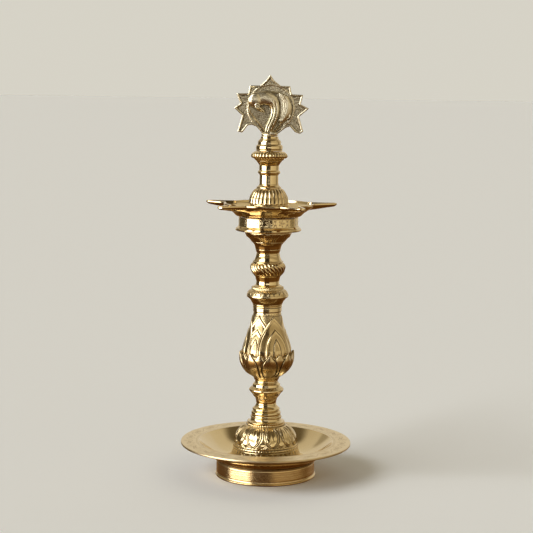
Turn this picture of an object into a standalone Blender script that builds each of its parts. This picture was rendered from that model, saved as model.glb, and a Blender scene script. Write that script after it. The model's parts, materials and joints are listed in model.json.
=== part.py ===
"""Brass standing oil lamp (samai), 305 mm tall, as separate turned and cast pieces.

Frame: metres, +Z up, origin at the centre of the foot's flat bottom, on the lamp's axis.
The front of the lamp, with the peacock, faces -Y.

From the ground up the lamp is a foot ring, a tray, a bell, a ringed collar and a disc knop, all
clamped by one stud and its nut. Above them four sections screw onto each other: the lotus vase,
the upper stem, the oil dish and the finial. Each hangs from an empty on the joint's axis, and
below each sits the stud that rises with it.
"""

import math

import bmesh
import bpy

MM = 0.001
GAP = 0.3                      # clearance between touching pieces, in mm like every size below

# Heights of the seams between the pieces. Each piece starts GAP above the seam under it.
TRAY_FLOOR = 12.2
BELL_TOP = 40.9
COLLAR_TOP = 56.0
VASE_SEAM = 72.3
UPPER_SEAM = 131.2
KNOP_TOP = 147.0
ROPE_TOP = 171.2
DISH_SEAM = 187.4
DRUM_TOP = 198.6
DISH_FLOOR = 200.6
FINIAL_STEM_TOP = 247.9
COLLAR_CAP_TOP = 259.1
TOTAL_HEIGHT = 305.0

# Foot and tray
FOOT_RADIUS = 37.6
FOOT_LIP_RADIUS = 38.3
FOOT_WALL = 2.4
FOOT_TOP = 12.4
TRAY_RADIUS = 65.0
TRAY_RIM_INNER = 51.3
TRAY_WELL_FLOOR_RADIUS = 31.0
TRAY_RIM_TOP = 26.4
TRAY_SHEET = 1.8

# Oil dish with its wick spouts
DISH_FLOOR_RADIUS = 21.0
DISH_RIM_RADIUS = 34.0
DISH_RIM_TOP = 209.0
DISH_KNEE_RADIUS = 29.0
DISH_KNEE_HEIGHT = 205.6
DISH_SHEET = 1.6
SPOUT_COUNT = 5
SPOUT_TIP_RADIUS = 52.5
SPOUT_FIRST_DEGREES = 10.3
SPOUT_ROOT_HALF_DEGREES = 16.0
SPOUT_TIP_HALF_DEGREES = 2.4

# Studs, their nut and washer: plain cylinders at the thread's outer diameter
STUD_RADIUS = 4.0
FINIAL_STUD_RADIUS = 3.5
THREAD_PITCH = 1.5
SECTION_TURNS = 6
FINIAL_TURNS = 5
WASHER_RADIUS = 9.0
WASHER_THICKNESS = 1.2
NUT_ACROSS_FLATS = 13.0
NUT_HEIGHT = 6.0
NUT_SIDE_POINTS = 24

# Ends of the studs that aren't set by a joint's screw depth. The blind bore ends above its stud.
BASE_STUD_BOTTOM = 1.2
BASE_STUD_TOP = 62.7
VASE_STUD_TOP = 84.0
UPPER_STUD_TOP = 158.0
CUP_STUD_BOTTOM = 162.0
CUP_STUD_TOP = 177.8
DISH_STUD_TOP = 192.6
FINIAL_STUD_TOP = 211.8
FINIAL_BORE_TOP = 212.2

# Peacock fan
FAN_THICKNESS = 2.6
FAN_NECK_RADIUS = 6.3
FAN_NECK_TOP = 261.6
TANG_RADIUS = 3.0
TANG_BOTTOM = 244.2
PEACOCK_DEPTH = 6.0

STEM_SEGMENTS = 24
PLATE_SEGMENTS = 40
STUD_SEGMENTS = 16
CURVE_STEPS = 3


def clear_scene():
    """Remove every object, so that the script starts from nothing."""
    for obj in list(bpy.data.objects):
        bpy.data.objects.remove(obj, do_unlink=True)


def brass(name, colour, roughness):
    """A metal material of one colour and roughness."""
    material = bpy.data.materials.new(name)
    material.use_nodes = True
    shader = material.node_tree.nodes["Principled BSDF"]
    shader.inputs["Base Color"].default_value = (*colour, 1.0)
    shader.inputs["Metallic"].default_value = 1.0
    shader.inputs["Roughness"].default_value = roughness
    return material


def polished(name):
    return brass(name + "_brass", (0.80, 0.62, 0.30), 0.16)


def satin(name):
    return brass(name + "_brass", (0.74, 0.53, 0.23), 0.34)


def antique(name):
    return brass(name + "_brass", (0.62, 0.50, 0.27), 0.28)


def drawn(name):
    return brass(name + "_brass", (0.70, 0.54, 0.27), 0.40)


def add_object(name, mesh, material, parent=None, smooth_angle=35.0):
    """Link a mesh as one named object, shade its round faces smooth and hang it on its joint."""
    obj = bpy.data.objects.new(name, mesh)
    bpy.context.collection.objects.link(obj)
    mesh.materials.append(material)
    mesh.shade_smooth()
    mesh.set_sharp_from_angle(angle=math.radians(smooth_angle))
    if parent:
        obj.parent = parent
        obj.matrix_parent_inverse = parent.matrix_world.inverted()
    return obj


def joint_empty(name, height):
    """An empty on the lamp's axis, at the seam where a section screws on."""
    empty = bpy.data.objects.new(name, None)
    empty.location = (0.0, 0.0, height * MM)
    bpy.context.collection.objects.link(empty)
    bpy.context.view_layer.update()
    return empty


def bulge(start, end, sag, steps=CURVE_STEPS):
    """Points after start on a shallow curve to end. A positive sag swells to the right of the way."""
    run_r = end[0] - start[0]
    run_z = end[1] - start[1]
    length = math.hypot(run_r, run_z)
    points = []
    for step in range(1, steps + 1):
        t = step / steps
        lift = 4.0 * sag * t * (1.0 - t)
        radius = start[0] + run_r * t + lift * run_z / length
        height = start[1] + run_z * t - lift * run_r / length
        points.append((radius, height))
    return points


def outline(*steps):
    """A profile from corner points (r, z) and curved steps (r, z, sag)."""
    points = [steps[0]]
    for step in steps[1:]:
        if len(step) == 3:
            points += bulge(points[-1], step[:2], step[2])
        else:
            points.append(step)
    return points


def lathe(name, profile, segments):
    """Spin a closed profile of (r, z) points in mm about Z into one closed mesh."""
    mesh = bpy.data.meshes.new(name)
    bm = bmesh.new()
    loop = [bm.verts.new((radius * MM, 0.0, height * MM)) for radius, height in profile]
    edges = [bm.edges.new((loop[i - 1], loop[i])) for i in range(len(loop))]
    bmesh.ops.spin(bm, geom=loop + edges, cent=(0, 0, 0), axis=(0, 0, 1),
                   angle=math.tau, steps=segments, use_merge=True)
    bmesh.ops.remove_doubles(bm, verts=bm.verts, dist=0.001 * MM)
    bmesh.ops.dissolve_degenerate(bm, edges=bm.edges, dist=0.001 * MM)
    bmesh.ops.recalc_face_normals(bm, faces=bm.faces)
    bm.to_mesh(mesh)
    bm.free()
    return mesh


def turned(name, outer, bore, material, parent=None, segments=STEM_SEGMENTS):
    """A turned section: its outer profile from bottom to top, around a through bore."""
    inner = [(bore, outer[-1][1]), (bore, outer[0][1])]
    return add_object(name, lathe(name, outer + inner, segments), material, parent)


def foot_ring():
    """The plain ring that the lamp stands on, with a lip at the bottom."""
    inner = FOOT_RADIUS - FOOT_WALL
    profile = outline((FOOT_LIP_RADIUS, 0.0), (FOOT_LIP_RADIUS, 1.6), (FOOT_RADIUS, 2.2),
                      (FOOT_RADIUS, FOOT_TOP), (inner, FOOT_TOP - 1.0), (inner, 0.0))
    add_object("foot_ring", lathe("foot_ring", profile, PLATE_SEGMENTS), satin("foot_ring"))


def well_height(radius):
    """Height of the tray's inner face between its flat floor and its rim."""
    span = TRAY_RIM_INNER - TRAY_WELL_FLOOR_RADIUS
    t = (radius - TRAY_WELL_FLOOR_RADIUS) / span
    return TRAY_FLOOR + (TRAY_RIM_TOP - TRAY_FLOOR) * t ** 1.5


def tray():
    """The spun tray: a flat floor, a curved well and a broad flat rim."""
    bore = STUD_RADIUS + GAP
    radii = [TRAY_WELL_FLOOR_RADIUS, 36.0, 41.0, 46.0, TRAY_RIM_INNER]
    upper = [(bore, TRAY_FLOOR)] + [(r, well_height(r)) for r in radii]
    upper += [(TRAY_RADIUS, TRAY_RIM_TOP)]
    lower = [(TRAY_RADIUS, TRAY_RIM_TOP - TRAY_SHEET)]
    lower += [(r + 0.9, well_height(r) - TRAY_SHEET + 0.2) for r in reversed(radii[1:])]
    lower += [(TRAY_WELL_FLOOR_RADIUS, TRAY_FLOOR - TRAY_SHEET)]
    lower += [(bore, TRAY_FLOOR - TRAY_SHEET)]
    add_object("tray", lathe("tray", upper + lower, PLATE_SEGMENTS), satin("tray"))


def base_bell():
    """The hollow bell on the tray: a flared skirt, a petalled dome and a beaded top flange."""
    bottom = TRAY_FLOOR + GAP
    outer = outline((28.6, bottom), (28.4, 13.4), (24.9, 22.2, -0.7), (24.4, 24.4),
                    (19.4, 36.8, 1.5), (14.8, 39.4, 0.3), (14.3, BELL_TOP))
    inner = outline((STUD_RADIUS + GAP, BELL_TOP), (STUD_RADIUS + GAP, 37.0), (12.6, 36.6),
                    (17.0, 34.4, -0.3), (21.9, 24.4, -1.4), (25.9, bottom))
    add_object("base_bell", lathe("base_bell", outer + inner, STEM_SEGMENTS + 8),
               polished("base_bell"))


def neck_collar():
    """The ringed collar that flares out onto the bell."""
    outer = outline((14.4, BELL_TOP + GAP), (14.2, 42.0), (11.4, 44.6, -0.8), (11.2, 46.6),
                    (10.8, 48.6), (10.0, 50.0), (10.5, 51.0), (10.3, 52.2), (7.6, COLLAR_TOP, -0.5))
    turned("neck_collar", outer, STUD_RADIUS + GAP, polished("neck_collar"))


def disc_knop():
    """The knop with a sharp engraved edge, over an inverted cone."""
    outer = outline((7.6, COLLAR_TOP + GAP), (9.9, 61.8, -0.6), (12.7, 65.2), (13.3, 66.5),
                    (10.9, 69.0), (10.6, 70.4), (9.0, VASE_SEAM, -0.2))
    turned("disc_knop", outer, STUD_RADIUS + GAP, polished("disc_knop"))


def base_fasteners():
    """The stud that clamps the whole base, with its washer and nut under the tray."""
    stud("base_stud", BASE_STUD_BOTTOM, BASE_STUD_TOP, STUD_RADIUS)
    washer_top = TRAY_FLOOR - TRAY_SHEET - GAP
    washer_bottom = washer_top - WASHER_THICKNESS
    washer = [(STUD_RADIUS + GAP, washer_bottom), (WASHER_RADIUS, washer_bottom),
              (WASHER_RADIUS, washer_top), (STUD_RADIUS + GAP, washer_top)]
    add_object("base_washer", lathe("base_washer", washer, STUD_SEGMENTS), drawn("base_washer"))
    nut_top = washer_bottom - GAP
    base_nut(nut_top - NUT_HEIGHT, nut_top)


def hexagon_reach(angle):
    """Distance from the nut's axis to its flats, in one direction."""
    turn = (angle + math.pi / 6.0) % (math.pi / 3.0) - math.pi / 6.0
    return NUT_ACROSS_FLATS / 2.0 / math.cos(turn)


def base_nut(bottom, top):
    """The hexagon nut: six flats around a round bore, lofted through four rings of points."""
    bore = STUD_RADIUS + GAP
    angles = [math.tau * point / NUT_SIDE_POINTS for point in range(NUT_SIDE_POINTS)]
    flats = [hexagon_reach(angle) for angle in angles]
    round_wall = [bore] * NUT_SIDE_POINTS
    bm = bmesh.new()
    rings = []
    for reaches, height in ((flats, bottom), (flats, top), (round_wall, top), (round_wall, bottom)):
        ring = [bm.verts.new((reach * math.cos(angle) * MM, reach * math.sin(angle) * MM,
                              height * MM)) for reach, angle in zip(reaches, angles)]
        rings.append(ring)
    for first, second in zip(rings, rings[1:] + rings[:1]):
        for side in range(NUT_SIDE_POINTS):
            other = (side + 1) % NUT_SIDE_POINTS
            bm.faces.new((first[side], first[other], second[other], second[side]))
    bmesh.ops.recalc_face_normals(bm, faces=bm.faces)
    mesh = bpy.data.meshes.new("base_nut")
    bm.to_mesh(mesh)
    bm.free()
    add_object("base_nut", mesh, drawn("base_nut"))


def stud(name, bottom, top, radius, parent=None):
    """A double-ended threaded stud with chamfered ends, at its thread's outer diameter."""
    chamfer = 0.8
    profile = [(0.0, bottom), (radius - chamfer, bottom), (radius, bottom + chamfer),
               (radius, top - chamfer), (radius - chamfer, top), (0.0, top)]
    mesh = lathe(name, profile, STUD_SEGMENTS)
    return add_object(name, mesh, drawn(name), parent)


def lotus_vase(joint):
    """The petalled vase: its body stands in a calyx cup of overlapping petals."""
    stud("vase_stud", VASE_SEAM - SECTION_TURNS * THREAD_PITCH, VASE_STUD_TOP,
         STUD_RADIUS, joint)
    bore = STUD_RADIUS + GAP
    cup_outer = outline((8.9, VASE_SEAM + GAP), (9.8, 75.8), (13.2, 78.6, -0.3),
                        (20.9, 91.0, 1.9), (20.7, 96.2, 0.2))
    cup_inner = outline((19.4, 96.2), (19.4, 91.5), (12.4, 80.4, -1.7), (bore, 78.0))
    cup = cup_outer + cup_inner + [(bore, VASE_SEAM + GAP)]
    add_object("lotus_calyx", lathe("lotus_calyx", cup, STEM_SEGMENTS), polished("lotus_calyx"),
               joint)
    body = outline((11.9, 80.8), (19.0, 92.0, 1.6), (18.9, 98.6), (15.1, 110.6), (12.3, 120.0, -0.2),
                   (11.0, 127.5, -0.3), (11.1, UPPER_SEAM))
    turned("lotus_vase", body, bore, polished("lotus_vase"), joint)


def upper_stem(joint):
    """The upper stem: flange knop, rope knop and fluted capital, held by two studs."""
    stud("upper_stud", UPPER_SEAM - SECTION_TURNS * THREAD_PITCH, UPPER_STUD_TOP,
         STUD_RADIUS, joint)
    bore = STUD_RADIUS + GAP
    knop = outline((11.2, UPPER_SEAM + GAP), (11.5, 133.0), (15.6, 137.9, -0.5), (15.9, 139.0),
                   (12.6, 143.7, 0.7), (11.3, 145.8), (9.6, KNOP_TOP))
    turned("flange_knop", knop, bore, polished("flange_knop"), joint)
    rope = outline((9.2, KNOP_TOP + GAP), (8.9, 150.2), (12.6, 158.2, -0.3), (12.9, 162.2, 0.9),
                   (9.3, 168.8, -0.2), (8.8, ROPE_TOP))
    turned("rope_knop", rope, bore, polished("rope_knop"), joint)
    stud("cup_stud", CUP_STUD_BOTTOM, CUP_STUD_TOP, STUD_RADIUS, joint)
    capital = outline((8.8, ROPE_TOP + GAP), (9.7, 174.6), (17.4, 185.4, -0.9), (17.8, DISH_SEAM))
    turned("cup_capital", capital, bore, polished("cup_capital"), joint)


def spout_reach(offset):
    """Radius of the dish's rim, this many degrees from the middle of a spout."""
    span = SPOUT_ROOT_HALF_DEGREES - SPOUT_TIP_HALF_DEGREES
    t = (abs(offset) - SPOUT_TIP_HALF_DEGREES) / span
    t = min(max(t, 0.0), 1.0)
    return DISH_RIM_RADIUS + (SPOUT_TIP_RADIUS - DISH_RIM_RADIUS) * (1.0 - t) ** 2


def dish_columns():
    """The dish's columns as (direction, rim radius), close together where a spout narrows."""
    pitch = 360.0 / SPOUT_COUNT
    flank = [SPOUT_TIP_HALF_DEGREES, 4.2, 6.8, 10.5, SPOUT_ROOT_HALF_DEGREES]
    rim_steps = 4
    rim_step = (pitch - 2.0 * SPOUT_ROOT_HALF_DEGREES) / rim_steps
    rim = [SPOUT_ROOT_HALF_DEGREES + rim_step * step for step in range(1, rim_steps)]
    offsets = [-offset for offset in reversed(flank)] + flank + rim
    columns = []
    for spout in range(SPOUT_COUNT):
        middle = SPOUT_FIRST_DEGREES + spout * pitch
        columns += [(math.radians(middle + offset), spout_reach(offset)) for offset in offsets]
    return columns


def oil_dish(joint):
    """The spun dish that holds the oil, its rim drawn out into five channelled wick spouts."""
    bore = FINIAL_STUD_RADIUS + GAP
    under = DRUM_TOP + GAP
    bm = bmesh.new()
    columns = []
    for angle, reach in dish_columns():
        profile = [(bore, DISH_FLOOR), (DISH_FLOOR_RADIUS, DISH_FLOOR),
                   (DISH_KNEE_RADIUS, DISH_KNEE_HEIGHT), (reach, DISH_RIM_TOP),
                   (reach, DISH_RIM_TOP - DISH_SHEET),
                   (DISH_KNEE_RADIUS + 0.6, DISH_KNEE_HEIGHT - DISH_SHEET),
                   (DISH_FLOOR_RADIUS + 0.8, under), (bore, under)]
        columns.append([bm.verts.new((r * math.cos(angle) * MM, r * math.sin(angle) * MM, z * MM))
                        for r, z in profile])
    rows = len(columns[0])
    for first, second in zip(columns, columns[1:] + columns[:1]):
        for row in range(rows):
            below = (row + 1) % rows
            bm.faces.new((first[row], second[row], second[below], first[below]))
    bmesh.ops.triangulate(bm, faces=bm.faces)
    bmesh.ops.recalc_face_normals(bm, faces=bm.faces)
    mesh = bpy.data.meshes.new("oil_dish")
    bm.to_mesh(mesh)
    bm.free()
    add_object("oil_dish", mesh, polished("oil_dish"), joint)


def dish_section(joint):
    """The dish and its drum-shaped foot with a lipped flange and a bored boss inside."""
    stud("dish_stud", DISH_SEAM - SECTION_TURNS * THREAD_PITCH, DISH_STUD_TOP,
         STUD_RADIUS, joint)
    bore = STUD_RADIUS + GAP
    drum = outline((18.4, DISH_SEAM + GAP), (24.2, 188.2), (25.1, 189.2), (24.6, 190.2),
                   (22.6, 193.2, -0.5), (22.6, DRUM_TOP))
    hollow = [(20.6, DRUM_TOP), (20.6, 191.4), (8.4, 191.0), (8.0, DRUM_TOP), (bore, DRUM_TOP)]
    profile = drum + hollow + [(bore, DISH_SEAM + GAP)]
    add_object("dish_foot", lathe("dish_foot", profile, STEM_SEGMENTS), polished("dish_foot"), joint)
    oil_dish(joint)


def finial_stem(joint):
    """The finial's turned stem: fluted bell, neck with a ring, cone and beaded ring."""
    lower_bore = FINIAL_STUD_RADIUS + GAP
    upper_bore = TANG_RADIUS + GAP
    outer = outline((15.1, DISH_FLOOR + GAP), (15.1, 208.4), (14.1, 213.6), (8.3, 221.6, 1.3),
                    (7.2, 223.6), (7.2, 230.2), (8.5, 231.4), (8.5, 232.8), (7.5, 234.0),
                    (7.6, 237.4), (11.2, 242.2, -0.4), (13.5, 243.6), (13.5, 245.4),
                    (10.9, FINIAL_STEM_TOP))
    tang_floor = TANG_BOTTOM - GAP
    socket = [(upper_bore, FINIAL_STEM_TOP), (upper_bore, tang_floor), (0.0, tang_floor)]
    blind = [(0.0, FINIAL_BORE_TOP), (lower_bore, FINIAL_BORE_TOP), (lower_bore, DISH_FLOOR + GAP)]
    mesh = lathe("finial_stem", outer + socket + blind, STEM_SEGMENTS)
    add_object("finial_stem", mesh, polished("finial_stem"), joint)


def finial_cap(joint):
    """The stepped dome between the beaded ring and the fan."""
    outer = outline((10.0, FINIAL_STEM_TOP + GAP), (9.9, 252.2), (8.8, 253.6), (8.1, 256.0, 0.2),
                    (6.6, 257.6), (6.5, COLLAR_CAP_TOP))
    turned("finial_cap", outer, TANG_RADIUS + GAP, antique("finial_cap"), joint)


# The fan's outline as (x, z) in mm, from its tip down the right side and up the left.
FAN_RIGHT = [(0.0, TOTAL_HEIGHT), (3.0, 300.6), (8.0, 296.7), (14.9, 296.6), (16.2, 290.6), (24.7, 290.2),
             (23.0, 283.3), (29.2, 280.0), (21.9, 273.9), (25.1, 262.9), (22.6, 261.2),
             (18.9, 262.4), (15.2, 266.7), (11.6, 265.4), (6.2, 261.0)]
FAN_LEFT = [(5.5, 261.0), (9.4, 265.9), (13.2, 267.6), (16.4, 267.0), (20.6, 261.6), (24.1, 262.4),
            (20.7, 274.5), (26.9, 280.0), (22.1, 283.3), (25.0, 290.8), (16.2, 291.0),
            (15.2, 296.8), (7.4, 296.8), (3.0, 300.6)]


def extruded(name, points, front, back):
    """A flat piece: an outline of (x, z) points in mm, extruded from front to back along Y."""
    bm = bmesh.new()
    loop = [bm.verts.new((x * MM, front * MM, z * MM)) for x, z in points]
    face = bm.faces.new(loop)
    extrusion = bmesh.ops.extrude_face_region(bm, geom=[face])
    moved = [item for item in extrusion["geom"] if isinstance(item, bmesh.types.BMVert)]
    bmesh.ops.translate(bm, verts=moved, vec=(0.0, (back - front) * MM, 0.0))
    bmesh.ops.triangulate(bm, faces=bm.faces)
    bmesh.ops.recalc_face_normals(bm, faces=bm.faces)
    mesh = bpy.data.meshes.new(name)
    bm.to_mesh(mesh)
    bm.free()
    return mesh


def unite(target, other):
    """Union another solid into the target with a Boolean modifier, and hide the other."""
    other.hide_render = True
    other.display_type = "WIRE"
    modifier = target.modifiers.new(other.name, "BOOLEAN")
    modifier.operation = "UNION"
    modifier.object = other


def peacock_fan(joint):
    """The cast fan of pointed feathers, with a round neck and a tang down into the stem."""
    half = FAN_THICKNESS / 2.0
    points = FAN_RIGHT + [(-x, z) for x, z in FAN_LEFT]
    fan = add_object("peacock_fan", extruded("peacock_fan", points, -half, half),
                     antique("peacock_fan"), joint)
    root = [(0.0, TANG_BOTTOM), (TANG_RADIUS, TANG_BOTTOM), (TANG_RADIUS, COLLAR_CAP_TOP + GAP),
            (FAN_NECK_RADIUS, COLLAR_CAP_TOP + GAP), (FAN_NECK_RADIUS, FAN_NECK_TOP),
            (0.0, FAN_NECK_TOP)]
    neck = add_object("fan_neck_guide", lathe("fan_neck_guide", root, STUD_SEGMENTS),
                      antique("fan_neck_guide"), joint)
    unite(fan, neck)


def peacock(joint):
    """The peacock in front of the fan: raised neck, head turned to its right, folded wing."""
    back = -FAN_THICKNESS / 2.0 - GAP
    points = [(-3.6, 262.0), (4.4, 262.0), (9.0, 268.0), (15.6, 273.0), (17.0, 281.0), (13.6, 289.0),
              (6.0, 292.4), (-4.0, 293.0), (-12.0, 290.0), (-16.4, 283.0), (-15.4, 276.4),
              (-11.0, 270.6)]
    mesh = extruded("peacock", points, back - PEACOCK_DEPTH, back)
    add_object("peacock", mesh, antique("peacock"), joint)


def finial(joint):
    """The finial section, which screws into the middle of the oil dish."""
    stud("finial_stud", DISH_FLOOR - FINIAL_TURNS * THREAD_PITCH, FINIAL_STUD_TOP,
         FINIAL_STUD_RADIUS, joint)
    finial_stem(joint)
    finial_cap(joint)
    peacock_fan(joint)
    peacock(joint)


def build():
    clear_scene()
    foot_ring()
    tray()
    base_bell()
    neck_collar()
    disc_knop()
    base_fasteners()
    lotus_vase(joint_empty("vase_joint", VASE_SEAM))
    upper_stem(joint_empty("upper_joint", UPPER_SEAM))
    dish_section(joint_empty("dish_joint", DISH_SEAM))
    finial(joint_empty("finial_joint", DISH_FLOOR))


build()
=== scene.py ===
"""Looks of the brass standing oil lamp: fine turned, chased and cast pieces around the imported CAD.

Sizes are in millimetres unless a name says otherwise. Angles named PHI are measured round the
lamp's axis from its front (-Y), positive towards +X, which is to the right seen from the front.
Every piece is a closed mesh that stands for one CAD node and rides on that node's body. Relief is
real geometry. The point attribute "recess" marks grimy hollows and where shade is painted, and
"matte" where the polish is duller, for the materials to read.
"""

import functools
import json
import math

import bpy
import numpy as np
from mathutils import Euler, Matrix, Vector
from mathutils.geometry import delaunay_2d_cdt

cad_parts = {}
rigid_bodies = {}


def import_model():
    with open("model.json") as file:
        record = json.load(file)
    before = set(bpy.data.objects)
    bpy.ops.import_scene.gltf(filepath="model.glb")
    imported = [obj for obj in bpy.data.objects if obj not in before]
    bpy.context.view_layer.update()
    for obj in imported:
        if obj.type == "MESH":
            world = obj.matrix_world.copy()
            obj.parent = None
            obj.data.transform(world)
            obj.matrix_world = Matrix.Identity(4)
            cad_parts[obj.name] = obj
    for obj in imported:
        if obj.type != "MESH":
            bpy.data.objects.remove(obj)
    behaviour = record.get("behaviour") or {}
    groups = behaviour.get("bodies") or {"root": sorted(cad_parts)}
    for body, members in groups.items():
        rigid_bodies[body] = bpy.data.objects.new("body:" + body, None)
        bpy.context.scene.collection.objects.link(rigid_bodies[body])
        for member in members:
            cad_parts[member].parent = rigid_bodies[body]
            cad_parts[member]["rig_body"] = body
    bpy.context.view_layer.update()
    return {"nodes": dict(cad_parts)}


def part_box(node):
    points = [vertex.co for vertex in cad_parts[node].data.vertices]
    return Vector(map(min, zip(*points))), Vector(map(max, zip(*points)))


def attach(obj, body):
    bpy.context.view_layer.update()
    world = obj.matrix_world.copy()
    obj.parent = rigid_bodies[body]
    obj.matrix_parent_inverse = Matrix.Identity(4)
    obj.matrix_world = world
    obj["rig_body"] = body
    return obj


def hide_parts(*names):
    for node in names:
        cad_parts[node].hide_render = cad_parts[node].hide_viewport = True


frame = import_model()

MM = 0.001
TAU = math.tau

# Camera and stage: millimetres for the lens and sensor, metres for places, degrees for turns
CAMERA_LENS = 100.0
CAMERA_SENSOR = 36.0
CAMERA_CLIP = (0.05, 50.0)
CAMERA_DISTANCE = 1.1127
CAMERA_HEIGHT = 0.298
CAMERA_SIDE = -0.00105
CAMERA_PITCH_DOWN = 7.03
CAMERA_ROLL = 0.73
FLOOR_SIZE = 60.0
FLOOR_COLOUR = (0.93, 0.955, 0.965)

# Bores and studs
STUD_RADIUS = 4.0
FINIAL_STUD_RADIUS = 3.5
BORE = 4.3
THREAD_PITCH = 1.5
THREAD_DEPTH = 0.55
SHEET = 1.6


# ---- shape helpers

def smooth(low, high, value):
    """Smooth step from 0 at low to 1 at high."""
    t = unit((value - low) / (high - low))
    return t * t * (3.0 - 2.0 * t)


def line(distance, width):
    """1 on a line, falling to 0 at this distance from it."""
    return 1.0 - smooth(0.0, width, np.abs(distance))


def band(value, low, high, edge=0.15):
    """1 between low and high, with soft edges."""
    return smooth(low - edge, low + edge, value) * (1.0 - smooth(high - edge, high + edge, value))


def wrap(phi, centre, count):
    """Position in a repeat, from -1 to 1, where repeat 0 is centred on this angle in degrees."""
    turns = (phi - math.radians(centre)) * count / TAU
    return 2.0 * (turns - np.round(turns))


def unit(value):
    """Keep a value from 0 to 1."""
    return np.clip(value, 0.0, 1.0)


def most(*values):
    """The highest of several values at every point."""
    return functools.reduce(np.maximum, values)


def grooves(value, *marks):
    """Thin lines round a piece, each given as (position, width)."""
    return sum(line(value - at, width) for at, width in marks)


def flower(x, y, radius, depth, petals, width):
    """Outline of an engraved flower round the middle of its repeat."""
    return line(np.hypot(x, y) - (radius + depth * np.cos(petals * np.arctan2(y, x))), width)


def angles(columns):
    """Even steps round the axis, as one row."""
    return (np.arange(columns) * TAU / columns)[None, :]


def around(r, phi, z):
    """Points in mm at these radii, angles and heights."""
    return np.stack([r * np.sin(phi), -r * np.cos(phi), z + 0.0 * phi], axis=-1).reshape(-1, 3)


def bulge(start, end, sag, step=0.8):
    """Points after start on a shallow curve to end. A positive sag swells to the right."""
    run_r = end[0] - start[0]
    run_z = end[1] - start[1]
    length = math.hypot(run_r, run_z)
    count = max(2, math.ceil(length / step))
    points = []
    for index in range(1, count + 1):
        t = index / count
        lift = 4.0 * sag * t * (1.0 - t)
        points.append((start[0] + run_r * t + lift * run_z / length,
                       start[1] + run_z * t - lift * run_r / length))
    return points


def outline(*steps):
    """A profile from corner points (r, z) and curved steps (r, z, sag)."""
    points = [steps[0][:2]]
    for step in steps[1:]:
        if len(step) == 3:
            points += bulge(points[-1], step[:2], step[2])
        else:
            points.append(step)
    return points


def soften(points, radius):
    """Round each inner corner of an open profile with a small curve."""
    result = [points[0]]
    for before, corner, after in zip(points, points[1:], points[2:]):
        before, corner, after = (np.array(p, float) for p in (before, corner, after))
        ends = [(way, np.linalg.norm(way)) for way in (before - corner, after - corner)]
        reach = min(radius, *(0.45 * length for _, length in ends))
        start, end = (corner + way / length * reach for way, length in ends)
        for t in (0.0, 0.25, 0.5, 0.75, 1.0):
            bend = start * (1 - t) ** 2 + corner * 2 * t * (1 - t) + end * t ** 2
            result.append(tuple(bend))
    result.append(points[-1])
    return result


def densify(points, step):
    """Split every segment of an open profile so that none is longer than this step."""
    result = [points[0]]
    for start, end in zip(points, points[1:]):
        length = math.hypot(end[0] - start[0], end[1] - start[1])
        count = max(1, math.ceil(length / step))
        for index in range(1, count + 1):
            t = index / count
            result.append((start[0] + (end[0] - start[0]) * t, start[1] + (end[1] - start[1]) * t))
    return result


def mesh_from_arrays(name, points, quads, recess):
    """A mesh from vertex positions in mm, quads, and the recess value of each vertex."""
    mesh = bpy.data.meshes.new(name)
    mesh.vertices.add(len(points))
    mesh.vertices.foreach_set("co", (points * MM).astype(np.float32).ravel())
    mesh.loops.add(quads.size)
    mesh.loops.foreach_set("vertex_index", quads.astype(np.int32).ravel())
    mesh.polygons.add(len(quads))
    mesh.polygons.foreach_set("loop_start", np.arange(0, quads.size, 4, dtype=np.int32))
    mesh.update(calc_edges=True)
    mesh.validate()
    mesh.shade_smooth()
    add_value(mesh, "recess", recess)
    return mesh


def add_value(mesh, name, values):
    """Store one number at each vertex under a name that a material can read."""
    attribute = mesh.attributes.new(name, "FLOAT", "POINT")
    attribute.data.foreach_set("value", np.asarray(values, np.float32).ravel())


def place(mesh, node, slot, matte=0.0):
    """Link a piece, let it stand for its CAD node, and let it ride on that node's body."""
    obj = bpy.data.objects.new(node + "_fine", mesh)
    bpy.context.scene.collection.objects.link(obj)
    mesh.materials.append(MATERIALS[slot])
    if matte:
        add_value(mesh, "matte", np.full(len(mesh.vertices), matte))
    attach(obj, frame["nodes"][node]["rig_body"])
    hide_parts(node)
    return obj


def unit_length(ways):
    """The same directions, each one long."""
    return ways / np.maximum(np.linalg.norm(ways, axis=1, keepdims=True), 1e-9)


def loop_normals(loop):
    """Outward unit normals of a closed profile that runs counter-clockwise in (r, z)."""
    ahead = unit_length(np.roll(loop, -1, axis=0) - loop)
    behind = unit_length(loop - np.roll(loop, 1, axis=0))
    way = unit_length(ahead + behind)
    return np.stack([way[:, 1], -way[:, 0]], axis=1)


def ring_quads(rows, columns):
    """Quads of a closed grid that wraps round both ways."""
    row = np.arange(rows)[:, None]
    column = np.arange(columns)[None, :]
    right = (column + 1) % columns
    above = (row + 1) % rows
    corners = [row * columns + column, row * columns + right,
               above * columns + right, above * columns + column]
    return np.stack([np.broadcast_to(c, (rows, columns)) for c in corners], axis=-1).reshape(-1, 4)


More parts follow.
